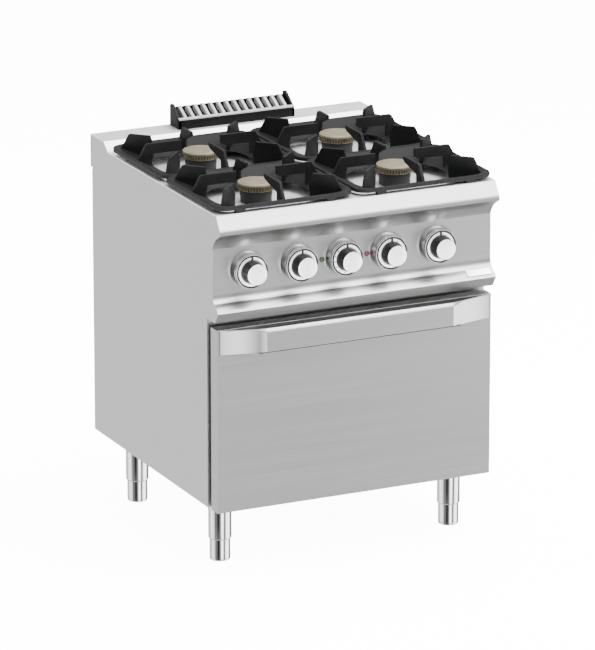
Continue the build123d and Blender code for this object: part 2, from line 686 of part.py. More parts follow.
def corner_plate(sx, sy, corner_x, corner_y):
    """Trapezoid plate on the diagonal of one corner, standing on the sloping skirt."""
    outer, top_outer, top_inner, inner = 30.0, 52.0, 104.0, 112.0
    points = [(outer, RIM_LOW + 1), (top_outer, FINGER_TOP), (top_inner, FINGER_TOP),
              (inner, FINGER_TOP - 28), (inner - 2, SKIRT_LOW + 3), (top_outer + 30, SKIRT_LOW + 3)]
    plane = Plane(origin=(0, 0, 0), x_dir=(1, 0, 0), z_dir=(0, -1, 0))
    plate = extrude(plane * make_face(closed(points)), amount=FINGER_T / 2, both=True)
    angle = {(-1, -1): 45, (1, -1): 135, (1, 1): 225, (-1, 1): 315}[(sx, sy)]
    return Pos(corner_x, corner_y, 0) * Rot(0, 0, angle) * plate


def flue_grille():
    """Cast flue grille: front bar, two cheeks, a rear bar and a row of fins."""
    z0 = STRIP_LEVEL + GAP
    side_outline = closed([(FLUE_FRONT, z0), (FLUE_BACK, z0), (FLUE_BACK, FLUE_TOP - 3),
                           (FLUE_BACK - 5, FLUE_TOP), (FLUE_BACK - 14, FLUE_TOP),
                           (FLUE_FRONT, z0 + FLUE_BAR_H)])
    cheek_t = 6.0
    grille = profile_x(side_outline, -FLUE_HALF, -FLUE_HALF + cheek_t)
    grille += profile_x(side_outline, FLUE_HALF - cheek_t, FLUE_HALF)
    grille += block(-FLUE_HALF, FLUE_HALF, FLUE_FRONT, FLUE_FRONT + 6, z0, z0 + FLUE_BAR_H)
    grille += block(-FLUE_HALF, FLUE_HALF, FLUE_BACK - 6, FLUE_BACK, z0, FLUE_TOP - 10)
    grille += rod_x(FLUE_FRONT + 5, z0 + FLUE_BAR_H, -FLUE_HALF, FLUE_HALF, 5.0)
    fin = closed([(FLUE_FRONT + 4, z0 + FLUE_BAR_H - 6), (FLUE_BACK - 3, z0 + FLUE_BAR_H + 10),
                  (FLUE_BACK - 3, FLUE_TOP - 8), (FLUE_BACK - 13, FLUE_TOP - 6),
                  (FLUE_FRONT + 4, z0 + FLUE_BAR_H + 3)])
    pitch = 2 * FLUE_HALF / (FIN_COUNT + 1)
    for i in range(1, FIN_COUNT + 1):
        x = -FLUE_HALF + i * pitch
        grille += profile_x(fin, x - FIN_T / 2, x + FIN_T / 2)
    return grille


# ---------------------------------------------------------------- feet and services
def foot_sleeves():
    """Upper tubes of the legs, fixed under the cabinet."""
    sleeves = []
    for side in SIDES.values():
        for y in FOOT_YS.values():
            x = side * FOOT_X
            tube = rod_z(x, y, SLEEVE_LOW, BODY_BOTTOM, SLEEVE_R)
            tube = chamfer(tube.edges().sort_by(Axis.Z)[0], length=2.0)
            tube -= rod_z(x, y, SLEEVE_LOW - 1, BODY_BOTTOM - 4, FOOT_R + SLIP)
            sleeves.append(tube)
    return sleeves


def foot(side, row):
    """Adjustable lower tube with a rounded base."""
    tube = rod_z(side * FOOT_X, FOOT_YS[row], 0, FOOT_TUBE_TOP, FOOT_R)
    return fillet(tube.edges().sort_by(Axis.Z)[0], radius=4.0)


def foot_bolts():
    """Bolts that hold the legs, heads inside the cabinet."""
    bolts = []
    for side in SIDES.values():
        for y in FOOT_YS.values():
            x = side * FOOT_X
            shank = rod_z(x, y, BODY_BOTTOM, BODY_BOTTOM + SHEET, 5.0)
            head = extrude(Pos(x, y, BODY_BOTTOM + SHEET) * RegularPolygon(10, 6), amount=7)
            bolts.append(shank + head)
    return bolts


def cable_gland():
    """Gland for the supply cable in the back panel."""
    gland = rod_y(GLAND_X, GLAND_Z, BACK_PANEL_Y - 12, REAR - 1, GLAND_R)
    return gland - rod_y(GLAND_X, GLAND_Z, BACK_PANEL_Y - 13, REAR, 6.0)


def terminal_box():
    """Connection box inside the back panel."""
    return block(-325, -245, 596, 628, 200, 270)


# ---------------------------------------------------------------- build
def group(parts):
    """Several separate solids kept in one node."""
    return Compound([solid for part in parts for solid in part.solids()])


for side_name, sign in SIDES.items():
    save("side_panel_" + side_name, side_panel(sign))
    for row_name in FOOT_YS:
        save("foot_" + row_name + "_" + side_name, foot(sign, row_name))
        save("pan_support_" + row_name + "_" + side_name, pan_support(sign, row_name))
        save("burner_cap_" + row_name + "_" + side_name,
             burner_cap(sign * COLUMN_X, BURNER_Y[row_name]))

for index, knob_x in enumerate(KNOB_X, start=1):
    save("knob_" + str(index), knob(knob_x))
    if index - 1 != THERMOSTAT_INDEX:
        save("tap_plunger_" + str(index), tap_plunger(knob_x))

SINGLE_NODES = {
    "fascia": fascia, "back_panel": back_panel, "base_tray": base_tray, "hob_top": hob_top,
    "maker_plate": maker_plate, "front_frame": front_frame, "oven_seal": oven_seal,
    "oven_liner": oven_liner, "oven_insulation": oven_insulation, "oven_shelf": oven_shelf,
    "sole_plate": sole_plate, "flue_duct": flue_duct,
    "door_outer_panel": door_outer_panel, "door_inner_panel": door_inner_panel,
    "door_insulation": door_insulation, "door_handle": door_handle,
    "thermostat_spindle": thermostat_spindle, "flue_grille": flue_grille,
    "cable_gland": cable_gland, "terminal_box": terminal_box,
}
for node_name, make in SINGLE_NODES.items():
    save(node_name, make())

save("lamp_green", lamp("green"))
save("lamp_red", lamp("red"))

GROUP_NODES = {
    "strip_plugs": strip_plugs, "top_rails": top_rails, "hinge_lugs": hinge_lugs,
    "hinge_pins": hinge_pins, "knob_collars": knob_collars, "gas_taps": gas_taps,
    "burner_cups": burner_cups, "burner_mixers": burner_mixers,
    "shelf_runners": shelf_runners, "heating_elements": heating_elements,
    "gas_pipes": gas_pipes, "oven_thermostat": oven_thermostat,
    "thermocouples": thermocouples, "foot_sleeves": foot_sleeves, "foot_bolts": foot_bolts,
}
for node_name, make in GROUP_NODES.items():
    save(node_name, group(make()))
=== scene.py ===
# %% [markdown]
# # A gas range for a restaurant kitchen
# The real range is a folded stainless cabinet on four round legs. Four cast pan supports
# cover the hob, five knobs sit on a coved control front, and a bowed strip opens the oven.
# The CAD model already gives every piece its place, so it is loaded first as a fixed frame.
# The alternative, modelling freely and fitting afterwards, loses the exact sizes.

# %% Load the frame
import math

import bmesh
import bpy
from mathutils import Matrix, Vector


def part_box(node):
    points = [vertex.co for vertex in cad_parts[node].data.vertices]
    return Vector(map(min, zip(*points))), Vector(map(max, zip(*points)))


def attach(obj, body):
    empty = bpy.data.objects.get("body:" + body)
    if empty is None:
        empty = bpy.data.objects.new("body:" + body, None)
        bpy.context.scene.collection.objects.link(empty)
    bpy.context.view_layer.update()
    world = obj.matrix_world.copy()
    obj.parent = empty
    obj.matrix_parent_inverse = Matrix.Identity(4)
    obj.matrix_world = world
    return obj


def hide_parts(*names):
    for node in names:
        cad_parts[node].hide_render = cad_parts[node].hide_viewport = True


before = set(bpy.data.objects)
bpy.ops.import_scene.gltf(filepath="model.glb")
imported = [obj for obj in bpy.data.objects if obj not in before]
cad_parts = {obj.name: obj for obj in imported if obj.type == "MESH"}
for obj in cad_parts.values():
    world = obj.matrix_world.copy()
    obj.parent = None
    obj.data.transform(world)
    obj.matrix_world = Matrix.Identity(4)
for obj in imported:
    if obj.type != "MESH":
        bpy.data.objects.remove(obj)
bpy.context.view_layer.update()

# %% [markdown]
# The workshop drawings are in millimetres and count Y from the front of the cabinet, while
# the frame is in metres about the middle of the floor plan. One function turns a drawn
# point into a frame point, so that every later cell can use the sizes a fitter would use.

# %% Drawn millimetres to frame metres
MM = 0.001
BACK_SHIFT = 284.5


def at(x, y, z):
    """A drawn point in millimetres as a frame point in metres."""
    return Vector((x, y - BACK_SHIFT, z)) * MM


def drawn_box(node):
    """Lowest and highest corner of a CAD node in drawn millimetres."""
    shift = Vector((0, BACK_SHIFT, 0))
    return [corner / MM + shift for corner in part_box(node)]


print("door in millimetres", [[round(c, 1) for c in v] for v in drawn_box("door_outer_panel")])

# %% [markdown]
# A long lens far away keeps the cabinet's edges nearly parallel, as a catalogue picture
# does. A short lens close by would splay the legs. The camera stands to the left of the
# range and a little above it.

# %% Camera
CAMERA_AT = Vector((-5.3715, -11.2901, 4.2714))
LOOK_AT = Vector((0.0183, 0.0155, 0.4519))
camera_data = bpy.data.cameras.new("catalogue_camera")
camera_data.lens = 311.8
camera_data.sensor_width = 36.0
camera_data.clip_end = 100.0
camera = bpy.data.objects.new("catalogue_camera", camera_data)
camera.location = CAMERA_AT
camera.rotation_euler = (LOOK_AT - CAMERA_AT).to_track_quat("-Z", "Y").to_euler()
bpy.context.scene.collection.objects.link(camera)
bpy.context.scene.camera = camera
print("camera distance in metres", round((LOOK_AT - CAMERA_AT).length, 2))

# %% [markdown]
# Node maths is easier to read as arithmetic. The class below wraps one output of a node;
# adding, subtracting or multiplying it makes the Math node. The Paint class holds one
# material, and its node method makes every other node from its type, settings and inputs.

# %% Sockets as numbers
class Wire:
    """One number that runs between two nodes and can be used in plain arithmetic."""

    def __init__(self, board, socket):
        self.board = board
        self.socket = socket

    def math(self, operation, first, second=None):
        inputs = {0: first} if second is None else {0: first, 1: second}
        return self.board.node("ShaderNodeMath", {"operation": operation}, inputs)

    def __add__(self, other):
        return self.math("ADD", self, other)

    def __sub__(self, other):
        return self.math("SUBTRACT", self, other)

    def __mul__(self, other):
        return self.math("MULTIPLY", self, other)

    def __neg__(self):
        return self.math("MULTIPLY", self, -1.0)

    def __abs__(self):
        return self.math("ABSOLUTE", self)

    def __rsub__(self, other):
        return self.math("SUBTRACT", other, self)

    __radd__ = __add__
    __rmul__ = __mul__

    def held(self):
        """The same number kept between 0 and 1."""
        return self.math("MINIMUM", self.math("MAXIMUM", self, 0.0), 1.0)


class Board:
    """A node tree that new nodes are laid on."""

    def __init__(self, tree):
        self.tree = tree

    def node(self, kind, settings=None, inputs=None, out=0):
        """Any node: settings first, then the values or wires of its sockets."""
        made = self.tree.nodes.new(kind)
        for key, value in (settings or {}).items():
            setattr(made, key, value)
        for socket, value in (inputs or {}).items():
            if isinstance(value, Wire):
                self.tree.links.new(value.socket, made.inputs[socket])
            else:
                made.inputs[socket].default_value = value
        return Wire(self, made.outputs[out])


class Paint(Board):
    """A material, its Principled shader and the nodes that feed it."""

    def __init__(self, name, **constants):
        self.material = bpy.data.materials.new(name)
        self.material.use_nodes = True
        super().__init__(self.material.node_tree)
        self.shader = self.tree.nodes["Principled BSDF"]
        for socket, value in constants.items():
            self.shader.inputs[socket.replace("_", " ")].default_value = value

    def feed(self, socket, wire):
        """Connect a wire to the shader."""
        self.tree.links.new(wire.socket, self.shader.inputs[socket])

    def place(self, scale):
        """Object position times a scale per axis, in metres."""
        where = self.node("ShaderNodeTexCoord", out="Object")
        return self.node("ShaderNodeVectorMath", {"operation": "MULTIPLY"}, {0: where, 1: scale})

    def noise(self, scale, detail=3.0, roughness=0.5):
        """Soft noise, stretched by a scale per axis."""
        return self.node("ShaderNodeTexNoise", None,
                         {"Vector": self.place(scale), "Scale": 1.0, "Detail": detail,
                          "Roughness": roughness}, out="Fac")

    def blend(self, factor, first, second):
        """A colour between two colours."""
        mix = self.node("ShaderNodeMix", {"data_type": "RGBA"},
                        {"Factor": factor, 6: (*first, 1.0), 7: (*second, 1.0)}, out=2)
        return mix

    def bump(self, height, strength, distance):
        """Turn a height in 0..1 into a normal."""
        normal = self.node("ShaderNodeBump", None,
                           {"Strength": strength, "Distance": distance, "Height": height},
                           out="Normal")
        self.feed("Normal", normal)


print("shader helpers ready")

# %% [markdown]
# Brushed stainless is a bright metal scored by fine parallel scratches. An image of
# scratches would repeat, so the grain here is noise stretched very long in one direction.
# A second, broader noise gives the slow cloudiness that rolled sheet shows, and a little
# anisotropy on the shader draws the highlights out. The tone is darker than bare
# stainless, to suit the bright studio below: in another scene it may need raising.

# %% Brushed stainless
GRAIN_LONG, GRAIN_FINE = 4.0, 1400.0
STREAK_LONG, STREAK_BROAD = 1.2, 160.0


def brushed(name, along, tone, rough, score=0.10, metallic=1.0):
    """Stainless sheet with its grain along one axis (0 for X, 1 for Y, 2 for Z)."""
    paint = Paint(name, Metallic=metallic, Anisotropic=0.25, Anisotropic_Rotation=0.25)
    fine = [GRAIN_FINE] * 3
    fine[along] = GRAIN_LONG
    broad = [STREAK_BROAD] * 3
    broad[along] = STREAK_LONG
    grain = paint.noise(fine, 2.0)
    streak = paint.noise(broad, 3.0)
    cloud = paint.noise((3.0, 3.0, 3.0), 2.0)
    mixed = (grain * 0.5 + streak * 0.3 + cloud * 0.2).held()
    dark = tuple(t * 0.90 for t in tone)
    light = tuple(min(1.0, t * 1.08) for t in tone)
    paint.feed("Base Color", paint.blend(mixed, dark, light))
    paint.feed("Roughness", grain * 0.10 + streak * 0.06 + (rough - 0.08))
    paint.bump(grain, score, 0.00008)
    return paint.material


# The tones differ by place as painted light and shade: the front sheet is painted darker, and the
# side, frame and hob top lighter, for how light falls on each face here.
STEEL_TONE = (0.42, 0.42, 0.417)
steel_front = brushed("steel_front", 0, (0.36, 0.36, 0.358), 0.35)
steel_side = brushed("steel_side", 1, STEEL_TONE, 0.32)
steel_top = brushed("steel_top", 0, (0.62, 0.62, 0.615), 0.40, 0.06, 0.65)
steel_inner = brushed("steel_inner", 0, (0.40, 0.40, 0.397), 0.34)
frame_steel = brushed("frame_steel", 0, (0.48, 0.48, 0.48), 0.42)
print("brushed steels", 5)

# %% [markdown]
# Galvanised sheet is duller and shows crystals, called spangle. A Voronoi texture makes
# those flat patches directly, where noise would only make clouds.

# %% Galvanised sheet
galvanised = Paint("galvanised_sheet", Metallic=1.0)
spangle = galvanised.node("ShaderNodeTexVoronoi", None,
                          {"Vector": galvanised.place((90.0, 90.0, 90.0)), "Scale": 1.0},
                          out="Distance")
galvanised.feed("Base Color", galvanised.blend(spangle.held(),
                                               (0.42, 0.43, 0.44), (0.60, 0.61, 0.62)))
galvanised.feed("Roughness", spangle * 0.15 + 0.38)
print("galvanised ready")

# %% [markdown]
# The pan supports and the flue grille are iron castings under matt black enamel. The skin
# is slightly pebbled from the sand mould and catches a soft highlight on every rounded
# edge. Three sizes of noise give the pebbling, the uneven sheen and faint grey heat marks.

# %% Enamelled cast iron
def cast_skin(name, dark, light, rough, pebble=0.35, shine=0.06):
    """Matt enamel over a sand-cast surface."""
    paint = Paint(name, Specular_IOR_Level=shine)
    sand = paint.noise((700.0, 700.0, 700.0), 3.0)
    patch = paint.noise((26.0, 26.0, 26.0), 4.0, 0.6)
    paint.feed("Base Color", paint.blend(patch, dark, light))
    paint.feed("Roughness", patch * 0.16 + sand * 0.08 + (rough - 0.12))
    paint.bump(sand * 0.7 + patch * 0.3, pebble, 0.0004)
    return paint.material


cast_black = cast_skin("cast_black", (0.0048, 0.0048, 0.0051), (0.0100, 0.0100, 0.0104), 0.52)
# The lighter grey is a painted highlight: the same black enamel, lightened on the fins and the bead
# where they catch the light.
painted_highlight_grey = cast_skin("painted_highlight_grey", (0.22, 0.22, 0.22), (0.32, 0.32, 0.32), 0.40, shine=0.5)
cup_black = cast_skin("cup_black", (0.010, 0.010, 0.011), (0.028, 0.028, 0.028), 0.48)
oven_enamel = cast_skin("oven_enamel", (0.020, 0.021, 0.025), (0.036, 0.037, 0.042), 0.28, 0.08)
print("cast and enamel skins", 4)

# %% [markdown]
# The flame spreaders are turned from a copper alloy and have gone dull brown with heat.
# Turning marks and blotchy oxide are two noises: one ringed fine, one soft and large.

# %% Weathered bronze and other metals
bronze = Paint("cap_bronze", Metallic=0.35)
oxide = bronze.noise((60.0, 60.0, 60.0), 4.0, 0.65)
speck = bronze.noise((900.0, 900.0, 900.0), 2.0)
bronze.feed("Base Color", bronze.blend((oxide * 1.4 - 0.2).held(),
                                       (0.088, 0.075, 0.046), (0.155, 0.136, 0.090)))
bronze.feed("Roughness", oxide * 0.2 + 0.42)
bronze.bump(speck, 0.25, 0.0002)


def smooth_metal(name, tone, rough, metallic=1.0):
    """Turned or drawn metal with a faint uneven polish."""
    paint = Paint(name, Metallic=metallic)
    wipe = paint.noise((40.0, 40.0, 40.0), 4.0)
    paint.feed("Base Color", paint.blend(wipe, tuple(t * 0.93 for t in tone), tone))
    paint.feed("Roughness", wipe * 0.08 + (rough - 0.04))
    return paint.material


chrome = smooth_metal("chrome_plate", (0.58, 0.58, 0.58), 0.22)
face_chrome = smooth_metal("knob_face_chrome", (0.78, 0.78, 0.78), 0.34, 0.75)
leg_steel = smooth_metal("leg_steel", (0.50, 0.50, 0.495), 0.12)
drawn_steel = smooth_metal("drawn_steel", (0.50, 0.50, 0.50), 0.30)
machined_brass = smooth_metal("machined_brass", (0.66, 0.50, 0.24), 0.28)
cast_alloy = smooth_metal("cast_alloy", (0.52, 0.52, 0.52), 0.45)
print("plain metals", 6)

# %% [markdown]
# Plastics, wool and gasket need little: a tint that varies slightly and a fine grain in
# the normal. The lenses are made the same way and are not transparent, since the lamps
# are off and only their dark colour shows.

# %% Plastics, lenses, wool and gasket
def moulded(name, tint, rough, grain_size=1200.0, grain=0.10):
    """Moulded plastic or woven fibre, from its tint and grain."""
    paint = Paint(name)
    grit = paint.noise((grain_size,) * 3, 2.0)
    tone = paint.noise((50.0, 50.0, 50.0), 3.0)
    paint.feed("Base Color", paint.blend(tone, tuple(t * 0.85 for t in tint), tint))
    paint.feed("Roughness", grit * 0.08 + (rough - 0.04))
    paint.bump(grit, grain, 0.0002)
    return paint.material


knob_black = moulded("knob_black", (0.004, 0.004, 0.004), 0.30)
dial_silver = smooth_metal("dial_silver", (0.82, 0.82, 0.82), 0.38, 0.6)
# The same black finish also paints the shadow bar under the door strip.
black_ink_and_painted_shadow = moulded("black_ink_and_painted_shadow", (0.002, 0.002, 0.002), 0.60)
lens_green = moulded("lens_green", (0.008, 0.020, 0.005), 0.40)
lens_red = moulded("lens_red", (0.045, 0.002, 0.008), 0.40)
service_plastic = moulded("service_plastic", (0.10, 0.10, 0.10), 0.50)
wool = moulded("mineral_wool", (0.52, 0.47, 0.30), 0.95, 260.0, 0.9)
gasket = moulded("glass_gasket", (0.11, 0.11, 0.11), 0.90, 500.0, 0.8)
plate_blank = smooth_metal("plate_blank", (0.82, 0.82, 0.82), 0.40)
print("soft finishes ready")

# %% [markdown]
# Most pieces are built from three moves: turn a profile round an axis, push an outline
# through a thickness, or join a row of rings. One class keeps the growing mesh, with a
# number per face for its finish, and makes the object at the end: normals out, edges
# rounded by a bevel, shading smooth up to an angle. Ready-made cylinders would leave
# dead-sharp rims, which is what makes a model look like one.

# %% The Shape class
class Shape:
    """A mesh drawn in millimetres that grows by turned, pushed and ringed parts."""

    def __init__(self):
        self.points = []
        self.faces = []
        self.inks = []

    def add(self, points, faces, ink=0):
        base = len(self.points)
        self.points += [tuple(p) for p in points]
        self.faces += [tuple(base + i for i in f) for f in faces]
        self.inks += [ink] * len(faces)

    def rings(self, rings, ink=0, closed=False):
        """Join rings of equal count; cap the first and last unless they close on themselves."""
        count = len(rings[0])
        points = [p for ring in rings for p in ring]
        faces = []
        steps = len(rings) if closed else len(rings) - 1
        for i in range(steps):
            a, b = i * count, ((i + 1) % len(rings)) * count
            for j in range(count):
                k = (j + 1) % count
                faces.append((a + j, a + k, b + k, b + j))
        if not closed:
            faces.append(tuple(range(count))[::-1])
            faces.append(tuple(len(points) - count + j for j in range(count)))
        self.add(points, faces, ink)

    def turned(self, profile, centre, axis, steps=64, ink=0, closed=False, radius=None):
        """Turn (radius, height) points round an axis; radius(r, h, step) may notch them."""
        axis = Vector(axis).normalized()
        side = axis.orthogonal().normalized()
        third = axis.cross(side)
        rings = []
        for r, h in profile:
            ring = []
            for step in range(steps):
                angle = 2 * math.pi * step / steps
                reach = radius(r, h, step) if radius else r
                out = side * math.cos(angle) + third * math.sin(angle)
                ring.append(Vector(centre) + out * reach + axis * h)
            rings.append(ring)
        self.rings(rings, ink, closed)

    def pushed(self, outline, low, high, place, ink=0):
        """Push an outline (u, v) from low to high; place(u, v, w) gives the drawn point."""
        self.rings([[place(u, v, low) for u, v in outline],
                    [place(u, v, high) for u, v in outline]], ink)

    def block(self, x0, x1, y0, y1, z0, z1, ink=0):
        """A box by its limits."""
        self.pushed([(x0, y0), (x1, y0), (x1, y1), (x0, y1)], z0, z1,
                    lambda u, v, w: (u, v, w), ink)

    def make(self, name, finishes, body, slot, nodes=(), round_mm=0.0, smooth=32.0, segments=2):
        """Finish the mesh and hang it on its body."""
        mesh = bpy.data.meshes.new(name)
        mesh.from_pydata([at(*p) for p in self.points], [], self.faces)
        for finish in finishes:
            mesh.materials.append(finish)
        for polygon, ink in zip(mesh.polygons, self.inks):
            polygon.material_index = ink
        work = bmesh.new()
        work.from_mesh(mesh)
        bmesh.ops.recalc_face_normals(work, faces=work.faces)
        work.to_mesh(mesh)
        work.free()
        return dress(name, mesh, body, slot, nodes, round_mm, smooth, segments)


def dress(name, mesh, body, slot, nodes, round_mm, smooth, segments=2):
    """Give a mesh its object, rounded edges, smooth shading and body; its slot is not used."""
    mesh.shade_smooth()
    mesh.set_sharp_from_angle(angle=math.radians(smooth))
    made = bpy.data.objects.new(name, mesh)
    bpy.context.scene.collection.objects.link(made)
    if round_mm:
        bevel = made.modifiers.new("rounded_edges", "BEVEL")
        bevel.width = round_mm * MM
        bevel.segments = segments
        bevel.limit_method = "ANGLE"
        bevel.angle_limit = math.radians(smooth)
        bevel.harden_normals = True
    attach(made, body)
    if nodes:
        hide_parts(*nodes)
    return made


print("shape tools ready")

# %% [markdown]
# Folded sheets already have the right shape in the CAD model, only with knife edges. A
# copy of such a node, with its flat triangles joined again and its edges rounded, is truer
# than redrawing it, so one helper does that for every plain sheet.

# %% Soften a CAD node
def soften(node, finish, body, slot, round_mm=0.6, smooth=20.0):
    """Replace a CAD node by a copy whose edges are rounded."""
    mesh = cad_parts[node].data.copy()
    mesh.name = node + "_skin"
    mesh.materials.clear()
    mesh.materials.append(finish)
    work = bmesh.new()
    work.from_mesh(mesh)
    bmesh.ops.remove_doubles(work, verts=work.verts, dist=0.00001)
    bmesh.ops.dissolve_limit(work, angle_limit=math.radians(0.2),
                             verts=work.verts, edges=work.edges)
    for face in work.faces:
        face.material_index = 0
    work.to_mesh(mesh)
    work.free()
    return dress(node + "_skin", mesh, body, slot, [node], round_mm, smooth)


def arc(first, middle, last, steps):
    """Points on the circle through three points, from first to last."""
    (ax, ay), (bx, by), (cx, cy) = first, middle, last
    d = 2 * (ax * (by - cy) + bx * (cy - ay) + cx * (ay - by))
    a2, b2, c2 = ax * ax + ay * ay, bx * bx + by * by, cx * cx + cy * cy
    ux = (a2 * (by - cy) + b2 * (cy - ay) + c2 * (ay - by)) / d
    uy = (a2 * (cx - bx) + b2 * (ax - cx) + c2 * (bx - ax)) / d
    radius = math.hypot(ax - ux, ay - uy)
    start = math.atan2(ay - uy, ax - ux)
    turn_middle = (math.atan2(by - uy, bx - ux) - start) % math.tau
    turn_last = (math.atan2(cy - uy, cx - ux) - start) % math.tau
    if turn_middle > turn_last:
        turn_last -= math.tau
    return [(ux + radius * math.cos(start + turn_last * i / steps),
             uy + radius * math.sin(start + turn_last * i / steps)) for i in range(steps + 1)]


print("quarter circle check", [round(v, 2) for v in arc((1, 0), (0.7071, 0.7071), (0, 1), 2)[1]])

# %% [markdown]
# The control front is one folded sheet. From the top it slopes out to a rounded nose, cuts
# back under it, sweeps down a cove to the flat knob panel, then swells into a lower
# moulding. Sampling its arcs finely keeps the long reflections smooth.

# %% Control front
NOSE = (-73.3, 810.0)
COVE_TOP = (-50.0, 794.6)
LOWER_TIP = (-60.0, 623.3)
SHEET = 1.5
SHEET_HALF = 348.5


def front_line():
    """The control front seen from the side, from the hob edge down."""
    line = [(-52.0, 848.5), (-52.6, 847.5), (-62.9, 829.7)]
    line += arc((-63.3, 829.0), (-70.2, 820.4), NOSE, 10)
    line += arc(NOSE, (-73.2, 808.2), (-71.6, 807.0), 8)[1:]
    line += arc(COVE_TOP, (-37.2, 780.5), (-30.0, 766.0), 24)
    line += [(-30.0, 764.0), (-30.0, 666.0)]
    line += arc((-30.0, 664.0), (-32.2, 651.0), (-38.5, 640.5), 12)
    line += arc((-38.5, 640.5), (-54.0, 630.0), LOWER_TIP, 16)[1:]
    line += arc(LOWER_TIP, (-60.0, 621.6), (-58.6, 620.2), 6)[1:]
    line += [(-58.0, 619.3), (-44.4, 599.1), (-44.0, 598.5), (-43.2, 598.5), (-6.0, 598.5)]
    return line


outer_line = front_line()
inner_line = [(y + SHEET, z) for y, z in outer_line[:-3]] + [(-42.8, 600.0), (-6.0, 600.0)]
control_front = Shape()
control_front.pushed(outer_line + inner_line[::-1], -SHEET_HALF, SHEET_HALF,
                     lambda u, v, w: (w, u, v))
control_front.make("control_front", [steel_front], "cabinet", "stainless", ["fascia"], 0.0, 20.0)
print("control front outline points", len(outer_line))

# %% [markdown]
# Two thirds of what is seen is flat sheet: sides, top and door. They keep their CAD form
# with softened edges; the grain direction differs, and so does a tone of painted light and shade.

# %% Cabinet and door sheets
soften("side_panel_left", steel_side, "cabinet", "stainless", 0.4)
soften("side_panel_right", steel_side, "cabinet", "stainless", 0.4)
soften("hob_top", steel_top, "cabinet", "stainless", 0.5)
soften("door_outer_panel", steel_front, "door", "stainless", 1.0)
soften("door_inner_panel", steel_inner, "door", "inner_stainless", 0.6)
soften("back_panel", galvanised.material, "cabinet", "galvanised", 0.4)
soften("front_frame", frame_steel, "cabinet", "frame_dark", 0.4)
print("sheets softened", 7)

# %% [markdown]
# The door handle is a strip as wide as the door. Its middle is flat with a bevelled lip along
# the top; at each end it folds once and then sweeps back to the door. It could be cut from
# a block, but a section carried along the bend gives the true sheet thickness. The narrow
# dark bar under its lower edge is not a part: it stands in for the shadow in the gap there,
# which this even light would not draw.

# %% Door handle
HANDLE_LOW, HANDLE_HIGH = 521.7, 578.0
STRIP_T = 2.5
SHADOW_GAP = 1.8
handle_sweep = [(0.0, -73.0), (120.0, -73.0), (234.0, -73.0), (235.0, -73.0), (245.0, -70.0)]
handle_sweep += arc((245.0, -70.0), (288.0, -55.5), (338.5, -46.4), 18)[1:]
handle_path = [(-x, y) for x, y in handle_sweep[:0:-1]] + handle_sweep


def handle_ring(x, y):
    """The strip's section where its front is at y; the folded lip fades towards the ends."""
    fade = max(0.0, min(1.0, (262.0 - abs(x)) / 24.0))
    rise = 0.8 + 6.2 * fade
    back = 0.45 + 3.3 * fade
    top = HANDLE_HIGH - rise - 0.6
    return_depth = STRIP_T + 0.1 + 7.0 * fade
    low = HANDLE_LOW + SHADOW_GAP * min(1.0, fade * 4.0)
    section = [(STRIP_T, low), (0.6, low), (0.0, low + 0.6),
               (0.0, HANDLE_LOW + 4.0), (0.0, top - 1.5), (0.0, top - 0.3), (0.15, top + 0.2),
               (back - 0.2, HANDLE_HIGH - 0.9), (back + 0.3, HANDLE_HIGH - 0.25),
               (back + 1.0, HANDLE_HIGH), (return_depth, HANDLE_HIGH),
               (return_depth, HANDLE_HIGH - 1.2),
               (STRIP_T + 0.05, HANDLE_HIGH - 1.3 - 3.0 * fade)]
    return [(x, y + dy, z) for dy, z in section]


handle = Shape()
handle.rings([handle_ring(x, y) for x, y in handle_path])
# This thin black block is painted shadow under the strip's lower edge, in the black ink finish.
handle.block(-254.0, 254.0, -71.6, -70.5, HANDLE_LOW, HANDLE_LOW + SHADOW_GAP, 1)
handle.make("door_strip", [steel_front, black_ink_and_painted_shadow], "door", "stainless", ["door_handle"], 0.0, 13.0)
print("handle stations", len(handle_path))

# %% [markdown]
# Each knob is three finishes in one turned form: a bright disc with a black rim and a
# pointer mark, a black barrel, and a bright domed face. The disc stands just in front of
# a tapered polished collar that is fixed to the panel.

# %% Knobs and collars
PANEL_FRONT = 30.0
knob_nodes = ["knob_1", "knob_2", "knob_3", "knob_4", "knob_5"]
knob_bodies = ["gas_knob_1", "gas_knob_2", "thermostat_knob", "gas_knob_4", "gas_knob_5"]
FORWARD = (0, -1, 0)


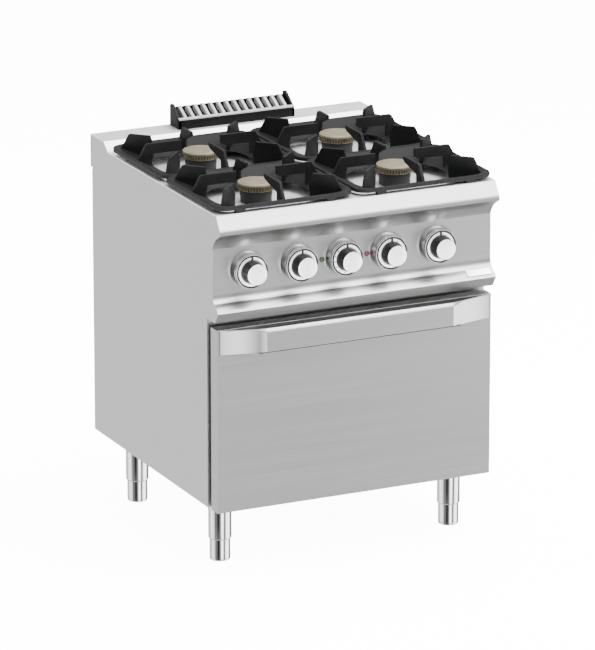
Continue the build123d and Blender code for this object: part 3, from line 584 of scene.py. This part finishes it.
def knob(node, body, dots):
    """One knob from its centre line; the thermostat's disc has a ring of dots."""
    low, high = drawn_box(node)
    centre = ((low.x + high.x) / 2, 0, (low.z + high.z) / 2)
    form = Shape()
    disc_r, line_r, base_r, face_r = 38.6, 38.3, 28.2, 23.5
    form.turned([(0.01, 50.0), (disc_r - 0.6, 50.0), (disc_r, 50.6), (disc_r, 52.4),
                 (disc_r - 0.6, 53.0), (0.01, 53.0)], centre, FORWARD, 96, 2)
    form.turned([(line_r - 4.4, 52.9), (line_r - 4.4, 53.2), (line_r, 53.2), (line_r, 52.6)],
                centre, FORWARD, 96, 1, closed=True)
    form.turned([(0.01, 52.0), (base_r, 52.0), (base_r, 53.8), (base_r - 0.7, 55.4),
                 (face_r + 0.9, 78.2), (face_r + 0.5, 79.4), (face_r - 0.2, 79.9), (0.01, 79.9)],
                centre, FORWARD, 96, 0)
    rise = 1.2
    ball = (face_r ** 2 + rise ** 2) / (2 * rise)
    rim = [(face_r - 0.4, 79.2), (face_r, 79.6), (face_r, 80.2), (face_r - 0.3, 80.6)]
    for step in range(1, 11):
        r = (face_r - 0.3) * (1 - step / 10) + 0.01
        rim.append((r, 80.8 + math.sqrt(ball ** 2 - r ** 2) - (ball - rise)))
    form.turned(rim, centre, FORWARD, 96, 3)
    x, z = centre[0], centre[2]
    form.block(x - 2.8, x + 2.8, -53.25, -52.5, z + 27.6, z + 35.6, 1)
    if dots:
        for step in range(2, 14):
            angle = math.radians(90 - step * 24)
            spot = (x + 31.4 * math.cos(angle), -52.8, z + 31.4 * math.sin(angle))
            size = 0.9 + 0.08 * step
            form.turned([(0.01, 0.0), (size, 0.0), (size, 0.4), (0.01, 0.4)], spot, FORWARD, 12, 1)
    form.make(node + "_turned", [knob_black, black_ink_and_painted_shadow, dial_silver, face_chrome], body,
              "knob_black", [node], 0.0, 28.0)
    return x, z


collars = Shape()
for index, (node, body) in enumerate(zip(knob_nodes, knob_bodies)):
    x, z = knob(node, body, dots=index == 2)
    collars.turned([(43.4, PANEL_FRONT), (44.0, PANEL_FRONT + 0.5), (43.9, PANEL_FRONT + 1.6),
                    (41.4, 46.6), (40.8, 48.2), (40.0, 48.9), (39.2, 48.7), (38.9, 47.6),
                    (42.2, PANEL_FRONT)], (x, 0, z), FORWARD, 96, 0, closed=True)
collars.make("knob_collar_rings", [chrome], "cabinet", "chrome", ["knob_collars"], 0.0, 32.0)
print("knobs", len(knob_nodes))

# %% [markdown]
# Two pilot lamps sit between the knobs: a small domed lens in a thin rim. A lens is a
# piece of a ball, so a turned profile is the natural way.

# %% Pilot lamps
for node, finish, slot_name in (("lamp_green", lens_green, "lens_green"),
                                ("lamp_red", lens_red, "lens_red")):
    low, high = drawn_box(node)
    centre = ((low.x + high.x) / 2, 0, (low.z + high.z) / 2)
    lamp = Shape()
    lamp.turned([(0.01, 8.0), (6.0, 8.0), (6.0, 30.05), (6.5, 30.05), (6.45, 31.2),
                 (5.8, 32.0), (4.6, 32.5), (3.1, 32.9), (1.6, 33.15), (0.01, 33.2)],
                centre, FORWARD, 48, 0)
    lamp.make(node + "_lens", [finish], "cabinet", slot_name, [node], 0.0, 40.0)
print("lamps", 2)

# %% [markdown]
# The legs are polished tubes. The upper one is fixed and chamfered at its lower lip; the
# lower one slides in it and carries a small rounded foot.

# %% Legs
sleeves = Shape()
for row in ("front", "rear"):
    for side in ("left", "right"):
        low, high = drawn_box(f"foot_{row}_{side}")
        x, y = (low.x + high.x) / 2, (low.y + high.y) / 2
        sleeves.turned([(24.1, 52.4), (24.6, 52.0), (25.4, 52.0), (26.8, 53.6), (27.0, 54.6),
                        (27.0, 149.2), (26.6, 149.6), (24.1, 149.6)], (x, y, 0), (0, 0, 1), 96, 0,
                       closed=True)
        leg = Shape()
        leg.turned([(0.01, 0.0), (20.0, 0.0), (22.4, 0.6), (23.6, 2.0), (24.0, 4.0), (24.0, 6.0),
                    (23.2, 6.6), (23.2, 7.6), (24.0, 8.2), (24.0, 99.5), (23.5, 100.0),
                    (0.01, 100.0)], (x, y, 0), (0, 0, 1), 96, 0)
        leg.make(f"leg_{row}_{side}", [leg_steel], f"levelling_{row}_{side}", "foot_steel",
                 [f"foot_{row}_{side}"], 0.0, 25.0)
sleeves.make("leg_sleeves", [leg_steel], "cabinet", "chrome", ["foot_sleeves"], 0.0, 30.0)
print("legs", 4)

# %% [markdown]
# A pan support is one casting: a rim with rounded corners, a skirt that slopes in and
# down to catch spills, four long fingers on the axes and four short plates on the
# diagonals. The rim and skirt are one section carried round a rounded rectangle whose
# corners grow rounder towards the middle.

# %% Rim and skirt of a pan support
SUPPORT_W, SUPPORT_D, CORNER_R = 346.0, 299.5, 34.0
CORNER_STEPS = 10
RIM_SECTION = [(0.5, 857.5), (0.0, 858.2), (0.0, 864.8), (0.7, 866.4), (2.2, 867.0), (6.6, 867.0),
               (8.4, 866.3), (10.5, 864.9), (54.0, 843.4), (56.6, 842.4), (57.0, 841.8),
               (56.0, 841.2), (50.0, 841.6), (4.0, 857.5)]


def rounded_ring(x_mid, y_mid, inset, z):
    """A rounded rectangle, inset from the rim, as a ring of drawn points."""
    half_w, half_d = SUPPORT_W / 2 - inset, SUPPORT_D / 2 - inset
    radius = CORNER_R + (80.0 - CORNER_R) * min(1.0, inset / 50.0)
    ring = []
    for sx, sy, start in ((1, 1, 0), (-1, 1, 90), (-1, -1, 180), (1, -1, 270)):
        for step in range(CORNER_STEPS + 1):
            angle = math.radians(start + 90 * step / CORNER_STEPS)
            ring.append((x_mid + sx * (half_w - radius) + radius * math.cos(angle),
                         y_mid + sy * (half_d - radius) + radius * math.sin(angle), z))
    return ring


print("rim section points", len(RIM_SECTION))

# %% [markdown]
# A finger is a flat plate on edge: level on top, cut back under the arm, with a leg that
# ends on the skirt. Each is drawn as an outline and pushed through its thickness, then
# the bevel gives it the soft edges of a casting.

# %% Fingers
FINGER_TOP, FINGER_T = 899.0, 7.0
BURNER_X = 175.0
BURNER_ROWS = (("front", 113.0), ("rear", 413.0))
SIDES = (("left", -1), ("right", 1))


def upright(form, outline, centre, angle, thickness):
    """Stand an outline (distance out, height) on a line through centre."""
    c, s = math.cos(math.radians(angle)), math.sin(math.radians(angle))
    cx, cy = centre
    form.pushed(outline, -thickness / 2, thickness / 2,
                lambda u, v, w: (cx + u * c - w * s, cy + u * s + w * c, v))


def long_finger(form, centre, angle, distance, tip_drop):
    """A finger on an axis, from near the flame out to the skirt."""
    tip, edge, slant, leg = 50.0, 34.0, 20.0, 34.0
    top_end = distance - edge
    foot = top_end + slant
    outline = [(tip, FINGER_TOP), (top_end - 3, FINGER_TOP), (top_end, FINGER_TOP - 1.5),
               (foot, 861.0),
               (foot - leg, 845.0), (foot - leg, FINGER_TOP - 28), (foot - leg - 3, FINGER_TOP - 25),
               (tip + 6, FINGER_TOP - tip_drop), (tip, FINGER_TOP - tip_drop + 4)]
    upright(form, outline, centre, angle, FINGER_T)


def corner_plate(form, corner, angle):
    """A short plate on a diagonal, standing on the skirt."""
    outline = [(30.0, 858.5), (50.5, FINGER_TOP - 1.5), (53.0, FINGER_TOP), (104.0, FINGER_TOP),
               (112.0, FINGER_TOP - 28), (110.0, 845.0), (82.0, 845.0)]
    upright(form, outline, corner, angle, FINGER_T)


for row, burner_y in BURNER_ROWS:
    for side, sign in SIDES:
        node = f"pan_support_{row}_{side}"
        low, high = drawn_box(node)
        x_mid, y_mid = (low.x + high.x) / 2, (low.y + high.y) / 2
        burner = (sign * BURNER_X, burner_y)
        casting = Shape()
        casting.rings([rounded_ring(x_mid, y_mid, inset, z) for inset, z in RIM_SECTION],
                      closed=True)
        for angle, distance, drop in ((0, high.x - burner[0], 24.0), (90, high.y - burner_y, 12.0),
                                      (180, burner[0] - low.x, 24.0), (270, burner_y - low.y, 12.0)):
            long_finger(casting, burner, angle, distance, drop)
        for corner, angle in (((low.x, low.y), 45), ((high.x, low.y), 135),
                              ((high.x, high.y), 225), ((low.x, high.y), 315)):
            corner_plate(casting, corner, angle)
        for sx in (-1, 1):
            for sy in (-1, 1):
                foot_x, foot_y = x_mid + sx * 113.0, y_mid + sy * 143.75
                casting.block(foot_x - 12, foot_x + 12, foot_y - 5, foot_y + 5, 850.0, 858.5)
        casting.make(node + "_casting", [cast_black], f"support_{row}_{side}", "cast_iron",
                     [node], 1.1, 30.0, 3)
print("pan supports", 4)

# %% [markdown]
# The burner is a black cup with a loose bronze spreader. Flame ports are cut all round the
# lower half of its side, so the turned radius is notched there. Cutting forty slots one
# by one would be another way, with far more steps.

# %% Burners
PORTS = 40
PORT_DEPTH = 5.0


def ported(r, h, step):
    """Cut a port in every other quarter of the steps on the lower side."""
    return r - PORT_DEPTH if 854.0 < h < 864.0 and step % 4 in (2, 3) else r


cups = Shape()
for row, burner_y in BURNER_ROWS:
    for side, sign in SIDES:
        centre = (sign * BURNER_X, burner_y, 0)
        cap = Shape()
        cap.turned([(0.01, 843.0), (17.0, 843.0), (17.5, 843.5), (17.5, 853.0), (41.6, 853.0),
                    (42.5, 853.8), (42.5, 854.2), (42.5, 863.8), (42.5, 864.4), (42.5, 867.2),
                    (41.9, 868.6), (40.4, 869.4), (37.0, 869.6), (36.2, 870.3), (34.5, 870.7),
                    (20.0, 871.0), (0.01, 871.0)], centre, (0, 0, 1), PORTS * 4, 0, radius=ported)
        cap.make(f"flame_spreader_{row}_{side}", [bronze.material], f"cap_{row}_{side}",
                 "cap_bronze", [f"burner_cap_{row}_{side}"], 0.0, 30.0)
        cups.turned([(18.0, 800.0), (24.0, 796.0), (24.0, 821.0), (33.0, 822.0), (36.0, 824.0),
                     (36.0, 836.0), (37.0, 838.0), (37.0, 851.8), (36.0, 852.8), (19.0, 852.8),
                     (18.0, 852.0)], centre, (0, 0, 1), 96, 0, closed=True)
cups.make("burner_cup_castings", [cup_black], "cabinet", "cast_iron", ["burner_cups"], 0.0, 30.0)
print("burner ports each", PORTS)

# %% [markdown]
# The flue grille stands on the raised strip at the back: a low front bar with a round bead,
# two cheeks that rise to the rear, and fourteen sloping fins that shed the hot air.

# %% Flue grille
low, high = drawn_box("flue_grille")
GRILLE_Z = low.z
FINS, FIN_T, CHEEK_T, BAR_H = 14, 7.0, 6.0, 22.0
grille = Shape()


def flank(u, v, w):
    """Place an outline drawn as (Y, Z) at an X."""
    return (w, u, v)


cheek = [(low.y, GRILLE_Z), (high.y, GRILLE_Z), (high.y, high.z - 3), (high.y - 5, high.z),
         (high.y - 14, high.z), (low.y, GRILLE_Z + BAR_H)]
grille.pushed(cheek, low.x, low.x + CHEEK_T, flank)
grille.pushed(cheek, high.x - CHEEK_T, high.x, flank)
grille.block(low.x, high.x, low.y, low.y + 6, GRILLE_Z, GRILLE_Z + BAR_H)
grille.block(low.x, high.x, high.y - 6, high.y, GRILLE_Z, high.z - 10)
# The bead takes the lighter grey, a painted highlight on the black enamel casting.
grille.turned([(4.4, low.x), (5.0, low.x + 0.6), (5.0, high.x - 0.6), (4.4, high.x)],
              (0, low.y + 5, GRILLE_Z + BAR_H), (1, 0, 0), 32, 1)
fin = [(low.y + 4, GRILLE_Z + BAR_H - 6), (high.y - 3, GRILLE_Z + BAR_H + 10),
       (high.y - 3, high.z - 8), (high.y - 13, high.z - 6), (low.y + 4, GRILLE_Z + BAR_H + 3)]
# Each fin also takes the painted highlight grey.
for number in range(1, FINS + 1):
    x = low.x + (high.x - low.x) * number / (FINS + 1)
    grille.pushed(fin, x - FIN_T / 2, x + FIN_T / 2, flank, 1)
grille.make("flue_casting", [cast_black, painted_highlight_grey], "flue_cover", "cast_iron",
            ["flue_grille"], 1.4, 30.0, 3)
print("flue fins", FINS)

# %% [markdown]
# Everything else is a plain part inside or behind the cabinet. Those CAD nodes keep their
# shape and only take a finish.

# %% Finishes for the remaining nodes
REMAINING = {
    "base_tray": galvanised.material, "top_rails": galvanised.material,
    "flue_duct": galvanised.material,
    "terminal_box": galvanised.material, "hinge_lugs": galvanised.material,
    "strip_plugs": steel_top, "maker_plate": plate_blank, "oven_liner": oven_enamel,
    "sole_plate": oven_enamel, "oven_seal": gasket, "oven_insulation": wool,
    "door_insulation": wool, "oven_shelf": chrome, "shelf_runners": chrome,
    "burner_mixers": cast_alloy, "gas_taps": machined_brass, "gas_pipes": drawn_steel,
    "foot_bolts": drawn_steel, "hinge_pins": drawn_steel, "thermocouples": drawn_steel,
    "thermostat_spindle": drawn_steel, "heating_elements": drawn_steel,
    "oven_thermostat": service_plastic, "cable_gland": service_plastic,
    "tap_plunger_1": drawn_steel, "tap_plunger_2": drawn_steel, "tap_plunger_4": drawn_steel,
    "tap_plunger_5": drawn_steel,
}
for node, finish in REMAINING.items():
    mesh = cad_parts[node].data
    mesh.materials.clear()
    mesh.materials.append(finish)
print("plain nodes finished", len(REMAINING))

# %% [markdown]
# Brushed steel shows whatever stands around it, so the studio matters as much as the
# finish: a glowing white floor, three large soft lights, a small card and no hard lamp. The
# steel doesn't mirror the floor. It mirrors soft panels set into the dome below the
# horizon, which only the reflections see; one of them takes light away. They are placed
# for this camera. A plain dome would be truer to a room, and the steel would look flat.

# %% Floor and light
floor_mesh = bpy.data.meshes.new("studio_floor")
FLOOR = 30.0
floor_corners = [(-FLOOR, -FLOOR, 0), (FLOOR, -FLOOR, 0), (FLOOR, FLOOR, 0), (-FLOOR, FLOOR, 0)]
floor_mesh.from_pydata(floor_corners, [], [(0, 1, 2, 3)])
WHITE = (1.0, 1.0, 1.0, 1.0)
FLOOR_GLOW = 12.0
floor_paint = Paint("studio_floor", Roughness=0.9, Specular_IOR_Level=0.2,
                    Base_Color=(0.92, 0.92, 0.92, 1.0), Emission_Color=WHITE,
                    Emission_Strength=FLOOR_GLOW)
floor_mesh.materials.append(floor_paint.material)
floor = bpy.data.objects.new("studio_floor", floor_mesh)
bpy.context.scene.collection.objects.link(floor)
floor.visible_glossy = False

world = bpy.data.worlds.new("studio_dome")
world.use_nodes = True
backdrop = world.node_tree.nodes["Background"]
backdrop.inputs["Color"].default_value = WHITE
dome = Board(world.node_tree)
heading = dome.node("ShaderNodeTexCoord", out="Generated")
split = dome.node("ShaderNodeSeparateXYZ", None, {0: heading}).socket.node
east, north, up = (Wire(dome, output) for output in split.outputs)
turn = dome.node("ShaderNodeMath", {"operation": "ARCTAN2"}, {0: east, 1: -north})


def panel_of_light(centre, half, strength):
    """A soft upright panel below the horizon, by its heading in degrees from the front."""
    away = abs(turn - math.radians(centre))
    return (1.6 - away * (1.6 / math.radians(half))).held() * strength


below = (up * -12.0).held()
panels = (panel_of_light(1, 17, 8.0) + panel_of_light(62, 32, 8.0) + panel_of_light(-108, 34, 4.0)
          + panel_of_light(-158, 26, 1.5) + panel_of_light(150, 40, 1.0)
          + panel_of_light(-40, 15, -0.38))
GROUND_GLOW, UNDERFOOT_GLOW = 0.42, 0.7
steep = ((-up - 0.45) * 4.0).held()
lower = (panels * (1.0 - steep) + steep * UNDERFOOT_GLOW + GROUND_GLOW) * below
SKY_GLOW, FRONT_DIM, FRONT_HIGH_GLOW = 0.85, 0.5, 2.6
front = ((0.25 - north) * 2.0).held()
high = ((up - 0.36) * 6.0).held()
upper = (1.0 - below) * (SKY_GLOW - front * FRONT_DIM + front * high * FRONT_HIGH_GLOW)
world.node_tree.links.new((lower + upper).socket, backdrop.inputs["Strength"])
bpy.context.scene.world = world


def soft_light(name, place, target, size, watts):
    """A square area light that faces a point."""
    lamp_data = bpy.data.lights.new(name, "AREA")
    lamp_data.shape = "SQUARE"
    lamp_data.size = size
    lamp_data.energy = watts
    lamp_object = bpy.data.objects.new(name, lamp_data)
    lamp_object.location = place
    aim = Vector(target) - Vector(place)
    lamp_object.rotation_euler = aim.to_track_quat("-Z", "Y").to_euler()
    bpy.context.scene.collection.objects.link(lamp_object)


soft_light("overhead_box", (1.1, 0.0, 3.6), (0.9, -0.1, 0.0), 2.8, 340.0)
soft_light("front_right_box", (2.1, -3.6, 4.1), (0, 0, 0.6), 2.6, 280.0)
soft_light("left_box", (-3.6, 2.6, 3.0), (-1.6, 1.6, 0.0), 2.6, 120.0)
soft_light("right_card", (1.15, -1.65, 0.3), (0.3, -0.4, 0.5), 0.8, 1.3)
print("lights", 4)
